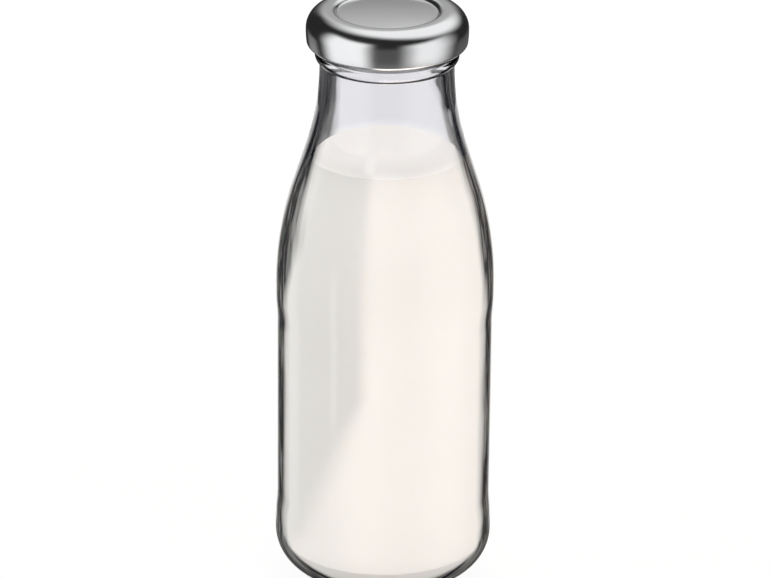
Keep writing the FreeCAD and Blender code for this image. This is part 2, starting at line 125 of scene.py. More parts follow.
# Cap
TIN = 0.2 * MM
PANEL_DEPTH = 1.1 * MM
PANEL_CROWN = 0.4 * MM  # how far the sunken panel swells at its middle
PANEL_CORNER = 0.6 * MM
PANEL_CLEARANCE = 0.55 * MM
CREST_ROUND = 1.6 * MM
CREST_START = BORE_RADIUS - PANEL_CLEARANCE
RING_CREST = 1.475 * MM
CAP_SHOULDER = CAP_RADIUS - CREST_START - RING_CREST
HEM_ROUND = 1.0 * MM
SKIRT_TAPER = 0.18 * MM  # how far the skirt leans in at its hem
SKIRT_TAPER_RISE = 3.0 * MM
HEM_CENTRE = CAP_RADIUS - SKIRT_TAPER - HEM_ROUND
LUG_COUNT = 4
LUG_ANGLE = math.radians(24)
LUG_THICK = 1.0 * MM
LUG_CLEARANCE = 0.5 * MM
LUG_TIP = FINISH_RADIUS + LUG_CLEARANCE

# Sealing ring
SEAL_LAP = 0.15 * MM
SEAL_INNER = BORE_RADIUS - SEAL_LAP
SEAL_DENT = 0.18 * MM

SPIN_STEPS = 192  # segments of a full turn
TINY = 1e-7  # two points nearer than this are the same


# ---------------------------------------------------------------------------------------------------------
# Changes and half sections
# ---------------------------------------------------------------------------------------------------------
def ease(value, low, high):
    """0 below low, 1 above high and a smooth change between them."""
    share = min(1.0, max(0.0, (value - low) / (high - low)))
    return share * share * (3 - 2 * share)


def fall(value, low, high):
    """1 below low, 0 above high and a smooth change between them."""
    return 1 - ease(value, low, high)


def between(value, rise_start, rise_end, fall_start, fall_end):
    """1 on a stretch and 0 off it, smooth at both of its ends."""
    return ease(value, rise_start, rise_end) * fall(value, fall_start, fall_end)


def arc(centre, radius, start, end, steps):
    """Points of an arc from one angle to another, in degrees; 0 points away from the axis and 90 up."""
    points = []
    for step in range(steps + 1):
        angle = math.radians(start + (end - start) * step / steps)
        points.append((centre[0] + radius * math.cos(angle), centre[1] + radius * math.sin(angle)))
    return points


def run(start, end, step=1.0 * MM):
    """Points of a straight run, at most a step apart."""
    count = max(1, math.ceil(math.dist(start, end) / step))
    return [
        (start[0] + (end[0] - start[0]) * k / count, start[1] + (end[1] - start[1]) * k / count)
        for k in range(count + 1)
    ]


def fade(start, end, steps=10):
    """Points of an S-shaped change of radius that starts and ends upright."""
    points = []
    for step in range(steps + 1):
        share = step / steps
        radius = start[0] + (end[0] - start[0]) * ease(share, 0, 1)
        points.append((radius, start[1] + (end[1] - start[1]) * share))
    return points


def chain(*parts):
    """Joins runs and arcs into one list, leaving out points that coincide."""
    points = []
    for part in parts:
        for point in part:
            if not points or math.dist(points[-1], point) > TINY:
                points.append(point)
    return points


def shoulder(low_radius, high_radius, grow=0.0):
    """The curve in from the body, the straight slope and the flare up to the neck."""
    lean = 2 * math.atan((low_radius - high_radius) / (SHOULDER_RISE + SLOPE_LENGTH))
    radii = (SHOULDER_RISE - SLOPE_LENGTH * math.cos(lean)) / math.sin(lean)
    bulge = radii * SHOULDER_SHARE
    flare = radii - bulge
    turn = math.degrees(lean)
    bulge_centre = (low_radius - bulge, SHOULDER_START)
    flare_centre = (high_radius + flare, NECK_START)
    return chain(
        arc(bulge_centre, bulge + grow, 0, turn, 34),
        arc(flare_centre, flare - grow, 180 + turn, 180, 26),
    )


def bead_corner(radius, side):
    """The centre of the small curve where the bead meets a wall, and how far it turns, in degrees."""
    span = BEAD_ROUND + BEAD_CORNER
    turn = math.acos((radius + BEAD_CORNER - BEAD_CENTRE) / span)
    return (radius + BEAD_CORNER, BEAD_HEIGHT + side * span * math.sin(turn)), math.degrees(turn)


def foot_and_wall():
    """The outside from the middle of the dome under the bottle to the middle of the bead."""
    foot = BAND_RADIUS - HEEL_ROUND
    foot_inside = foot - FOOT_RING
    dome = (foot_inside**2 + PUSH_UP**2) / (2 * PUSH_UP)
    dome_turn = math.degrees(math.asin(foot_inside / dome))
    heel_top = HEEL_ROUND + HEEL_BAND
    band_foot = SHOULDER_START - SHOULDER_BAND
    corner, turn = bead_corner(NECK_RADIUS, -1)
    return chain(
        arc((0, PUSH_UP - dome), dome, 90, 90 - dome_turn, 16),
        run((foot_inside, 0), (foot, 0), 0.7 * MM),
        arc((foot, HEEL_ROUND), HEEL_ROUND, -90, 0, 22),
        run((BAND_RADIUS, HEEL_ROUND), (BAND_RADIUS, heel_top)),
        fade((BAND_RADIUS, heel_top), (PANEL_RADIUS, heel_top + BAND_BLEND)),
        run((PANEL_RADIUS, heel_top + BAND_BLEND), (PANEL_RADIUS, band_foot - BAND_BLEND)),
        fade((PANEL_RADIUS, band_foot - BAND_BLEND), (BAND_RADIUS, band_foot)),
        run((BAND_RADIUS, band_foot), (BAND_RADIUS, SHOULDER_START)),
        shoulder(BAND_RADIUS, NECK_RADIUS),
        run((NECK_RADIUS, NECK_START), (NECK_RADIUS, corner[1]), 0.4 * MM),
        arc(corner, BEAD_CORNER, 180, 180 - turn, 5),
        arc((BEAD_CENTRE, BEAD_HEIGHT), BEAD_ROUND, -turn, 0, 8),
    )


def finish_wall():
    """The outside from the middle of the bead, up the wall that carries the thread and over the rim."""
    corner, turn = bead_corner(FINISH_RADIUS, 1)
    return chain(
        arc((BEAD_CENTRE, BEAD_HEIGHT), BEAD_ROUND, 0, turn, 8),
        arc(corner, BEAD_CORNER, 180 + turn, 180, 5),
        run((FINISH_RADIUS, corner[1]), (FINISH_RADIUS, RIM - RIM_ROUND), 0.3 * MM),
        arc((FINISH_RADIUS - RIM_ROUND, RIM - RIM_ROUND), RIM_ROUND, 0, 90, 6),
    )


def cavity(bite=0.0):
    """The inside of the glass from the middle of its floor to the rim, set outward by a bite."""
    corner = (CAVITY_RADIUS - FLOOR_ROUND, FLOOR_LOW + FLOOR_ROUND)
    drop = corner[1] - FLOOR_TOP
    dome = (corner[0] ** 2 + drop**2 - FLOOR_ROUND**2) / (2 * (FLOOR_ROUND - drop))
    lean = math.degrees(math.asin(corner[0] / (dome + FLOOR_ROUND)))
    return chain(
        arc((0, FLOOR_TOP - dome), dome - bite, 90, 90 - lean, 14),
        arc(corner, FLOOR_ROUND + bite, -90 - lean, 0, 18),
        run((CAVITY_RADIUS + bite, corner[1]), (CAVITY_RADIUS + bite, SHOULDER_START)),
        shoulder(CAVITY_RADIUS, BORE_RADIUS, bite),
        run((BORE_RADIUS + bite, NECK_START), (BORE_RADIUS + bite, RIM - RIM_ROUND), 0.6 * MM),
        arc((BORE_RADIUS + RIM_ROUND, RIM - RIM_ROUND), RIM_ROUND - bite, 180, 90, 6),
    )


# ---------------------------------------------------------------------------------------------------------
# Meshes
# ---------------------------------------------------------------------------------------------------------
def make_piece(name, vertices, faces, smooth=True):
    mesh = bpy.data.meshes.new(name)
    mesh.from_pydata(vertices, [], faces)
    if smooth:
        mesh.shade_smooth()
    piece = bpy.data.objects.new(name, mesh)
    bpy.context.scene.collection.objects.link(piece)
    return piece


def spin(name, points, lift=None):
    """Turns a half section about Z. lift(ring, angle, radius, height) says how far out to move a point."""
    vertices = []
    faces = []
    rings = []
    for ring, (radius, height) in enumerate(points):
        first = len(vertices)
        if radius < TINY:
            vertices.append((0, 0, height))
            rings.append([first])
            continue
        for step in range(SPIN_STEPS):
            angle = 2 * math.pi * step / SPIN_STEPS
            out = radius + lift(ring, angle, radius, height) if lift else radius
            vertices.append((out * math.cos(angle), out * math.sin(angle), height))
        rings.append(list(range(first, first + SPIN_STEPS)))
    for below, above in zip(rings, rings[1:]):
        for step in range(SPIN_STEPS):
            after = (step + 1) % SPIN_STEPS
            if len(below) == 1:
                faces.append((below[0], above[after], above[step]))
            elif len(above) == 1:
                faces.append((below[step], below[after], above[0]))
            else:
                faces.append((below[step], below[after], above[after], above[step]))
    return make_piece(name, vertices, faces)


def ripple(angle, height):
    """A slow unevenness of blown glass, from -1 to 1, round the bottle and up it."""
    waves = ((0.4, 3, 0.11, 1.3), (0.3, 7, -0.23, 2.73), (0.2, 11, 0.37, 4.81), (0.1, 17, -0.61, 6.89))
    up = height / MM
    return sum(size * math.sin(turns * angle + rise * up + start) for size, turns, rise, start in waves)


def thread_lift(angle, height):
    """How far the thread stands out of the finish at one place."""
    turn = angle / (2 * math.pi) * THREAD_STARTS % 1
    share = turn / THREAD_TURN
    across = abs(height - THREAD_TOP + THREAD_DROP * share) / THREAD_HALF_WIDTH
    if share > 1 or across >= 1:
        return 0.0
    return THREAD_DEPTH * between(share, 0, 0.12, 0.85, 1) * (1 - across * across) ** THREAD_FULLNESS


def make_bottle():
    """The glass as one closed skin: outside with its thread, rim, and an inside that is a little uneven."""
    outside = chain(foot_and_wall(), finish_wall())
    inside = cavity()[::-1]

    def lift(ring, angle, radius, height):
        if ring >= len(outside):
            return UNEVENNESS * between(height, *UNEVEN_STRETCH) * ripple(angle, height)
        on_finish = abs(radius - FINISH_RADIUS) < TINY and height > BEAD_HEIGHT
        return thread_lift(angle, height) if on_finish else 0.0

    return spin("glass_bottle", outside + inside, lift)


def make_milk():
    """The milk up to its level, reaching a little into the glass, with a meniscus against the wall."""
    wall = [point for point in cavity(MILK_BITE) if point[1] < MILK_LEVEL - WALL_STOP]
    (low_radius, low_height), (radius, height) = wall[-2:]
    slope = (radius - low_radius) / (height - low_height)
    edge_height = MILK_LEVEL + MENISCUS_RISE
    edge = (radius + slope * (edge_height - height), edge_height)
    lip = (edge[0] - slope * MENISCUS_LIP, edge_height - MENISCUS_LIP)
    surface = []
    steps = 12
    for step in range(1, steps):
        inward = MENISCUS_REACH * (step / steps) ** 1.6
        rise = MENISCUS_RISE * math.exp(-inward / MENISCUS_FADE)
        surface.append((edge[0] - inward, MILK_LEVEL + rise))
    level = run((edge[0] - MENISCUS_REACH, MILK_LEVEL), (0, MILK_LEVEL), 1.5 * MM)
    return spin("milk_fill", chain(wall, run(wall[-1], lip), [edge], surface, level))


def make_cap():
    """The pressed cap: both faces of the sheet, from the panel over the raised ring to the rolled hem."""
    lean = math.acos(1 - PANEL_DEPTH / (PANEL_CORNER + CREST_ROUND))
    turn = math.degrees(lean)
    panel = CREST_START - (PANEL_CORNER + CREST_ROUND) * math.sin(lean)
    floor = CAP_TOP - PANEL_DEPTH
    crown = (panel**2 + PANEL_CROWN**2) / (2 * PANEL_CROWN)
    crown_turn = math.degrees(math.asin(panel / crown))
    crown_centre = (0, floor + PANEL_CROWN - crown)
    corner = (panel, floor + PANEL_CORNER)
    crest = (CREST_START, CAP_TOP - CREST_ROUND)
    ring = (CREST_START + RING_CREST, CAP_TOP - CAP_SHOULDER)
    hem = (HEM_CENTRE, CAP_FOOT + HEM_ROUND)
    skirt = []
    steps = 8
    for step in range(steps + 1):
        share = step / steps
        skirt.append((CAP_RADIUS - SKIRT_TAPER * share**2, hem[1] + SKIRT_TAPER_RISE * (1 - share)))
    lining = [(radius - TIN, height) for radius, height in skirt[::-1]]
    face = chain(
        arc(crown_centre, crown, 90, 90 - crown_turn, 14),
        arc(corner, PANEL_CORNER, -90, -90 + turn, 6),
        arc(crest, CREST_ROUND, 90 + turn, 90, 8),
        run((CREST_START, CAP_TOP), (ring[0], CAP_TOP), 0.5 * MM),
        arc(ring, CAP_SHOULDER, 90, 0, 20),
        run((CAP_RADIUS, ring[1]), skirt[0], 0.6 * MM),
        skirt,
        arc(hem, HEM_ROUND, 0, -270, 24),
    )
    back = chain(
        arc(hem, HEM_ROUND - TIN, -270, 0, 24),
        lining,
        run(lining[-1], (CAP_RADIUS - TIN, ring[1]), 0.6 * MM),
        arc(ring, CAP_SHOULDER - TIN, 0, 90, 20),
        run((ring[0], CAP_TOP - TIN), (CREST_START, CAP_TOP - TIN), 0.5 * MM),
        arc(crest, CREST_ROUND - TIN, 90, 90 + turn, 8),
        arc(corner, PANEL_CORNER + TIN, -90 + turn, -90, 6),
        arc(crown_centre, crown - TIN, 90 - crown_turn, 90, 14),
    )
    return spin("cap_pressing", chain(face, back)[::-1])


def make_lugs():
    """The lugs: the hem pressed flat and inward in four places, each with a rounded tip and faded ends."""
    vertices = []
    faces = []
    along_steps = 20
    hem_height = CAP_FOOT + HEM_ROUND
    half = LUG_THICK / 2
    for lug in range(LUG_COUNT):
        middle = 2 * math.pi * lug / LUG_COUNT
        rings = []
        for step in range(along_steps + 1):
            share = 2 * step / along_steps - 1
            angle = middle + share * LUG_ANGLE / 2
            swell = math.sqrt(1 - share**6)
            tip = HEM_CENTRE - (HEM_CENTRE - LUG_TIP - half) * swell
            section = [(HEM_CENTRE, half), (tip, half)]
            section += arc((tip, 0), half, 90, 270, 8)[1:-1]
            section += [(tip, -half), (HEM_CENTRE, -half)]
            rings.append(range(len(vertices), len(vertices) + len(section)))
            for radius, lift in section:
                vertices.append((radius * math.cos(angle), radius * math.sin(angle), hem_height + lift))
        for before, after in zip(rings, rings[1:]):
            for k in range(len(before)):
                following = (k + 1) % len(before)
                faces.append((before[k], before[following], after[following], after[k]))
        faces.append(tuple(rings[0])[::-1])
        faces.append(tuple(rings[-1]))
    return make_piece("cap_lugs", vertices, faces)


def make_seal():
    """The soft ring cast into the cap above the rim, with a shallow groove where the rim presses in."""
    ring = (CREST_START + RING_CREST, CAP_TOP - CAP_SHOULDER)
    lining = CAP_SHOULDER - TIN
    outer = ring[0] + math.sqrt(lining**2 - (RIM - ring[1]) ** 2)
    outer_turn = math.degrees(math.asin((RIM - ring[1]) / lining))
    groove = []
    steps = 12
    for step in range(steps + 1):
        share = step / steps
        dent = SEAL_DENT * math.sin(math.pi * share) ** 2
        groove.append((SEAL_INNER + (outer - SEAL_INNER) * share, RIM + dent))
    points = chain(
        groove,
        arc(ring, lining, outer_turn, 90, 8),
        run((ring[0], CAP_TOP - TIN), (SEAL_INNER, CAP_TOP - TIN), 0.5 * MM),
        run((SEAL_INNER, CAP_TOP - TIN), (SEAL_INNER, RIM), 0.3 * MM),
    )
    return spin("sealing_ring", points)


# ---------------------------------------------------------------------------------------------------------
# Nodes
# ---------------------------------------------------------------------------------------------------------
def grey(value):
    return (value, value, value, 1.0)


class Recipe:
    """A material's or a group's node tree, with short calls to add and join nodes."""

    def __init__(self, tree):
        self.tree = tree

    def add(self, kind, settings=None, **inputs):
        """Adds a node. settings are its own properties; inputs are values or sockets, by socket name."""
        node = self.tree.nodes.new(kind)
        for key, value in (settings or {}).items():
            setattr(node, key, value)
        for key, value in inputs.items():
            self.feed(node.inputs[key.replace("_", " ")], value)
        return node

    def feed(self, socket, value):
        if isinstance(value, bpy.types.NodeSocket):
            self.tree.links.new(value, socket)
        else:
            socket.default_value = value

    def math(self, operation, first, second=0.0):
        node = self.add("ShaderNodeMath", {"operation": operation})
        self.feed(node.inputs[0], first)
        self.feed(node.inputs[1], second)
        return node.outputs[0]

    def times(self, first, second):
        return self.math("MULTIPLY", first, second)

    def plus(self, first, second):
        return self.math("ADD", first, second)

    def minus(self, first, second):
        return self.math("SUBTRACT", first, second)

    def larger(self, first, second):
        return self.math("MAXIMUM", first, second)

    def mix(self, factor, first, second):
        """A mix of two colours."""
        node = self.add("ShaderNodeMix", {"data_type": "RGBA"}, Factor=factor, A=first, B=second)
        return node.outputs["Result"]

    def noise(self, vector, detail):
        return self.add("ShaderNodeTexNoise", Vector=vector, Scale=1.0, Detail=detail).outputs["Fac"]

    def span(self, value, low, high):
        """0 where a value is under low, 1 where it is over high, and smooth between them."""
        smooth = {"interpolation_type": "SMOOTHSTEP"}
        node = self.add("ShaderNodeMapRange", smooth, Value=value, From_Min=low, From_Max=high)
        return node.outputs["Result"]

    def falling(self, value, low, high):
        """1 where a value is under low, 0 where it is over high, and smooth between them."""
        return self.minus(1.0, self.span(value, low, high))

    def place(self, scale):
        """Object coordinates, scaled along each axis."""
        coordinates = self.add("ShaderNodeTexCoord").outputs["Object"]
        return self.add("ShaderNodeMapping", Vector=coordinates, Scale=scale).outputs["Vector"]

    def blend(self, factor, first, second):
        """A mix of two shaders."""
        node = self.add("ShaderNodeMixShader")
        for socket, value in zip(node.inputs, (factor, first.outputs[0], second.outputs[0])):
            self.feed(socket, value)
        return node

    def surface(self, shader):
        self.add("ShaderNodeOutputMaterial", Surface=shader.outputs[0])


def node_group(name, inputs, outputs):
    """An empty group of nodes. inputs and outputs give the kind of each of its sockets by name."""
    tree = bpy.data.node_groups.new(name, "ShaderNodeTree")
    for label, kind in inputs.items():
        tree.interface.new_socket(label, in_out="INPUT", socket_type=kind)
    for label, kind in outputs.items():
        tree.interface.new_socket(label, in_out="OUTPUT", socket_type=kind)
    recipe = Recipe(tree)
    given = recipe.add("NodeGroupInput").outputs
    result = recipe.add("NodeGroupOutput").inputs
    return recipe, given, result


def material(name):
    made = bpy.data.materials.new(name)
    made.use_nodes = True
    made.node_tree.nodes.clear()
    return made, Recipe(made.node_tree)


# ---------------------------------------------------------------------------------------------------------
# Effects that several materials use
# ---------------------------------------------------------------------------------------------------------
EDGE_SOFTNESS = 0.13
EDGE_WANDER = 0.14  # how far the lines in the glass shift the start of its dark edge
HEEL_EDGE_WIDER = 0.24
LINE_TURN = 60.0  # how fast the lines change from left to right

# Tints of the glass, most of them painted shade and painted glints
LIT_THROUGH = grey(0.98)  # for the light that reaches the milk
CLEAR = grey(0.985)
# painted shade: the clear wall a little greyer above the milk
PAINTED_GREY_ABOVE_MILK = (0.85, 0.85, 0.876, 1)
# painted shade of the dark edge, deepest above the milk and at the heel
PAINTED_EDGE_SHADE = (0.003, 0.003, 0.0036, 1)
PAINTED_EDGE_SHADE_DEEPEST = (0.0004, 0.0004, 0.0007, 1)  # above the milk and at the heel
# painted glints: pale lines in the dark edge, and its pale rim
PAINTED_GLINT = grey(0.13)
PAINTED_GLINT_ABOVE_MILK = grey(0.02)
PAINTED_RIM_LIGHT = grey(0.7)
# painted shade of the dark line where the bead meets the finish
CREASE_SHADE_MIDDLE = grey(0.1)
CREASE_SHADE_END = grey(0.004)

# Heights between which the glass changes
HEEL = (7 * MM, 15 * MM)
NECKING = (84 * MM, 108 * MM)
ABOVE_MILK = (MILK_LEVEL - 2 * MM, MILK_LEVEL + 3 * MM)
NECK_EVEN = (NECK_START - 11 * MM, NECK_START - 7 * MM)  # above it the left and the right edge match
CREASE_FOOT = (BEAD_HEIGHT + 1.3 * MM, BEAD_HEIGHT + 1.6 * MM)
CREASE_TOP = (BEAD_HEIGHT + 2.2 * MM, BEAD_HEIGHT + 2.5 * MM)

# Distances from the middle between which it changes
RIGHT_SIDE = (-1 * MM, 7 * MM)
CREASE_SIDES = (6 * MM, 13 * MM)


def make_glass_painted_edge():
    """The tint of clear glass, with painted shade: it darkens towards the outline, where the line of sight
    runs along the wall.

    Facing is how far the wall turns away, from 0 to 1. Body, Neck Left and Neck Right say how far it has to
    turn away there before its dark edge starts.
    """
    recipe, given, result = node_group(
        "glass_painted_edge",
        dict.fromkeys(("Facing", "Body", "Neck Left", "Neck Right"), "NodeSocketFloat"),
        {"Tint": "NodeSocketColor"},
    )
    facing = given["Facing"]
    body = given["Body"]
    left = given["Neck Left"]
    coordinates = recipe.add("ShaderNodeTexCoord").outputs["Object"]
    split = recipe.add("ShaderNodeSeparateXYZ", Vector=coordinates).outputs
    across = split["X"]
    height = split["Z"]

    def lines(fineness, length):
        """Noise drawn out along the outline of the wall."""
        stretched = recipe.add(
            "ShaderNodeCombineXYZ",
            X=recipe.times(facing, fineness),
            Y=recipe.times(across, LINE_TURN),
            Z=recipe.times(height, length),
        )
        return recipe.noise(stretched.outputs[0], 2.0)

    # The painted dark edge widens from the body to the neck, less so on the right, and again at the heel.
    heel = recipe.falling(height, *HEEL)
    right = recipe.times(recipe.span(across, *RIGHT_SIDE), recipe.falling(height, *NECK_EVEN))
    slimmer = recipe.times(right, recipe.minus(left, given["Neck Right"]))
    wider = recipe.times(recipe.plus(slimmer, recipe.minus(body, left)), recipe.span(height, *NECKING))
    wider = recipe.plus(wider, recipe.times(heel, HEEL_EDGE_WIDER))
    wander = recipe.times(recipe.minus(lines(9.0, 34.0), 0.5), EDGE_WANDER)
    past = recipe.minus(recipe.plus(facing, wander), recipe.minus(body, wider))
    edge = recipe.span(past, 0.0, EDGE_SOFTNESS)

    # In it run broad and fine pale lines, painted glints, and its outermost rim is pale, a painted highlight.
    neck = recipe.span(height, *ABOVE_MILK)
    broad = recipe.span(lines(15.0, 60.0), 0.5, 0.72)
    fine = recipe.times(recipe.span(lines(42.0, 90.0), 0.54, 0.66), 0.6)
    deep = recipe.mix(recipe.larger(neck, heel), PAINTED_EDGE_SHADE, PAINTED_EDGE_SHADE_DEEPEST)
    pale = recipe.mix(neck, PAINTED_GLINT, PAINTED_GLINT_ABOVE_MILK)
    dark = recipe.mix(recipe.larger(broad, fine), deep, pale)
    rim = recipe.times(recipe.span(facing, 0.79, 0.97), recipe.minus(0.7, recipe.times(heel, 0.6)))
    dark = recipe.mix(rim, dark, PAINTED_RIM_LIGHT)

    # Above the milk, where nothing lies behind it, the clear wall is painted a little greyer as painted
    # shade.
    tint = recipe.mix(edge, recipe.mix(neck, CLEAR, PAINTED_GREY_ABOVE_MILK), dark)

    # A painted dark line where the bead meets the finish stands in for the light bending away there, more so
    # towards the sides.
    crease_shade = recipe.times(recipe.span(height, *CREASE_FOOT), recipe.falling(height, *CREASE_TOP))
    sideways = recipe.span(recipe.math("ABSOLUTE", across), *CREASE_SIDES)
    tint = recipe.mix(crease_shade, tint, recipe.mix(sideways, CREASE_SHADE_MIDDLE, CREASE_SHADE_END))
    recipe.feed(result["Tint"], tint)
    return recipe.tree


def make_mottle():
    """Soft clouds of two colours. Scale sets their size along each axis and Detail how broken they are."""
    recipe, given, result = node_group(
        "mottle",
        {
            "Scale": "NodeSocketVector",
            "Detail": "NodeSocketFloat",
            "Dark": "NodeSocketColor",
            "Light": "NodeSocketColor",
        },
        {"Color": "NodeSocketColor", "Mask": "NodeSocketFloat"},
    )
    clouds = recipe.noise(recipe.place(given["Scale"]), given["Detail"])
    recipe.feed(result["Color"], recipe.mix(clouds, given["Dark"], given["Light"]))
    recipe.feed(result["Mask"], clouds)
    return recipe.tree


GLASS_PAINTED_EDGE = make_glass_painted_edge()
MOTTLE = make_mottle()


# ---------------------------------------------------------------------------------------------------------
# Materials
# ---------------------------------------------------------------------------------------------------------
def glass_material(name, body, neck_left, neck_right):
    """Clear flint glass with its painted dark edge. The light that reaches the milk through it isn't
    darkened.
    """
    made, recipe = material(name)
    tint = recipe.add(
        "ShaderNodeGroup",
        {"node_tree": GLASS_PAINTED_EDGE},
        Facing=recipe.add("ShaderNodeLayerWeight", Blend=0.5).outputs["Facing"],
        Body=body,
        Neck_Left=neck_left,
        Neck_Right=neck_right,
    )
    rays = recipe.add("ShaderNodeLightPath").outputs
    lighting = recipe.math("MINIMUM", rays["Diffuse Depth"], 1.0)
    glass = recipe.add(
        "ShaderNodeBsdfPrincipled",
        Base_Color=recipe.mix(lighting, tint.outputs["Tint"], LIT_THROUGH),
        Roughness=0.0,
        IOR=1.5,
        Transmission_Weight=1.0,
    )
    shadowless = recipe.add("ShaderNodeBsdfTransparent")
    recipe.surface(recipe.blend(rays["Is Shadow Ray"], glass, shadowless))
    return made


def milk_material(name, gloss):
    """Whole milk. gloss is its share of plain surface shine, which is lost where it lies on the glass."""
    made, recipe = material(name)
    clouds = recipe.add(
        "ShaderNodeGroup",
        {"node_tree": MOTTLE},
        Scale=(22.0, 22.0, 14.0),
        Detail=3.0,
        Dark=(0.915, 0.88, 0.845, 1),
        Light=(0.945, 0.91, 0.875, 1),
    )
    milk = recipe.add(
        "ShaderNodeBsdfPrincipled",
        Base_Color=clouds.outputs["Color"],
        Roughness=0.3,
        IOR=1.35,
        Specular_IOR_Level=gloss,
        Subsurface_Weight=0.35,
        Subsurface_Radius=(1.0, 0.85, 0.65),
        Subsurface_Scale=3 * MM,
    )
    recipe.surface(milk)
    return made


def cap_material():
    """Satin tinplate with a fine grain and faint clouds in its colour and its polish."""
    made, recipe = material("satin_tinplate")
    clouds = recipe.add(
        "ShaderNodeGroup",
        {"node_tree": MOTTLE},
        Scale=(90.0, 90.0, 90.0),
        Detail=3.0,
        Dark=(0.66, 0.665, 0.675, 1),
        Light=(0.72, 0.72, 0.725, 1),
    )
    grain = recipe.noise(recipe.place((2600.0, 2600.0, 2600.0)), 2.0)
    bump = recipe.add("ShaderNodeBump", Strength=0.06, Distance=0.1 * MM, Height=grain)
    metal = recipe.add(
        "ShaderNodeBsdfPrincipled",
        Base_Color=clouds.outputs["Color"],
        Metallic=1.0,
        Roughness=recipe.plus(recipe.times(clouds.outputs["Mask"], 0.06), 0.12),
        Normal=bump.outputs["Normal"],
    )
    recipe.surface(metal)
    return made


def seal_material():
    """Pale sealing compound with fine specks."""
    made, recipe = material("sealing_compound")
    specks = recipe.add(
        "ShaderNodeGroup",
        {"node_tree": MOTTLE},
        Scale=(700.0, 700.0, 700.0),
        Detail=2.0,
        Dark=(0.8, 0.77, 0.72, 1),
        Light=(0.88, 0.86, 0.82, 1),
    )
    bump = recipe.add("ShaderNodeBump", Strength=0.2, Distance=0.1 * MM, Height=specks.outputs["Mask"])
    soft = recipe.add(
        "ShaderNodeBsdfPrincipled",
        Base_Color=specks.outputs["Color"],
        Roughness=0.6,
        Normal=bump.outputs["Normal"],
    )
    recipe.surface(soft)
    return made


# ---------------------------------------------------------------------------------------------------------
# Dressing the object
# ---------------------------------------------------------------------------------------------------------
def dress(piece, node, *finishes):
    for finish in finishes:
        piece.data.materials.append(finish)
    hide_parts(node)
    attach(piece, "root")


bottle = make_bottle()
dress(
    bottle,
    "bottle",
    glass_material("flint_glass", body=0.58, neck_left=0.37, neck_right=0.46),
    glass_material("flint_glass_inside", body=0.5, neck_left=0.4, neck_right=0.56),
)
for face in bottle.data.polygons:
    outward = face.normal.x * face.center.x + face.normal.y * face.center.y
    face.material_index = 1 if outward < 0 and face.center.z > FLOOR_LOW else 0

milk = make_milk()
dress(milk, "milk", milk_material("milk", gloss=0.5), milk_material("milk_on_glass", gloss=0.0))
for face in milk.data.polygons:
    face.material_index = 0 if face.normal.z > 0.8 and face.center.z > MILK_LEVEL - 1 * MM else 1

tinplate = cap_material()
dress(make_cap(), "cap", tinplate)
dress(make_lugs(), "cap", tinplate)
dress(make_seal(), "seal", seal_material())


# ---------------------------------------------------------------------------------------------------------
# Table and backdrop
# ---------------------------------------------------------------------------------------------------------
TABLE_WIDTH = 12.0
TABLE_GREY = 0.8
TABLE_GLOW = 0.9  # how far the table shows as plain white where it is looked at
WORLD_LIGHT = 0.5  # the world's strength where it lights the object; it shows as white


def looked_at(recipe):
    """1 for what is seen by the camera, mirrored or seen through glass, and 0 for the light that it gives."""
    rays = recipe.add("ShaderNodeLightPath").outputs
    seen = recipe.larger(rays["Is Camera Ray"], rays["Is Glossy Ray"])
    return recipe.larger(seen, rays["Is Transmission Ray"])


def table_material():
    """White paper, which isn't there when it is looked at from under it."""
    made, recipe = material("table_white")
    paper = recipe.add("ShaderNodeBsdfDiffuse", Color=grey(TABLE_GREY))
    glow = recipe.add("ShaderNodeEmission", Color=grey(1.0), Strength=1.0)
    white = recipe.blend(recipe.times(looked_at(recipe), TABLE_GLOW), paper, glow)
    underside = recipe.add("ShaderNodeNewGeometry").outputs["Backfacing"]
    recipe.surface(recipe.blend(underside, white, recipe.add("ShaderNodeBsdfTransparent")))
    return made


def make_table():
    half = TABLE_WIDTH / 2
    corners = [(-half, -half, 0), (half, -half, 0), (half, half, 0), (-half, half, 0)]
    table = make_piece("table", corners, [(0, 1, 2, 3)], smooth=False)
    table.data.materials.append(table_material())


def light_world():
    world = bpy.data.worlds.new("studio")
    bpy.context.scene.world = world
    world.use_nodes = True
    world.node_tree.nodes.clear()
    recipe = Recipe(world.node_tree)
    strength = recipe.plus(recipe.times(looked_at(recipe), 1 - WORLD_LIGHT), WORLD_LIGHT)
    background = recipe.add("ShaderNodeBackground", Color=grey(1.0), Strength=strength)
    recipe.add("ShaderNodeOutputWorld", Surface=background.outputs[0])


# ---------------------------------------------------------------------------------------------------------
# Sheets of light that show only when they are mirrored. Angles are in degrees: azimuth 0 is the front, 90
# the right and -90 the left.
# ---------------------------------------------------------------------------------------------------------
def aim(azimuth, elevation):
    """The way to look, as a direction from the middle outward."""
    turn, lift = math.radians(azimuth), math.radians(elevation)
    return Vector((math.sin(turn) * math.cos(lift), -math.cos(turn) * math.cos(lift), math.sin(lift)))


def glow_material(name):
    """Light of the colour painted on the mesh."""
    made, recipe = material(name)
    painted = recipe.add("ShaderNodeVertexColor", {"layer_name": "glow"})
    recipe.surface(recipe.add("ShaderNodeEmission", Color=painted.outputs["Color"], Strength=1.0))
    return made


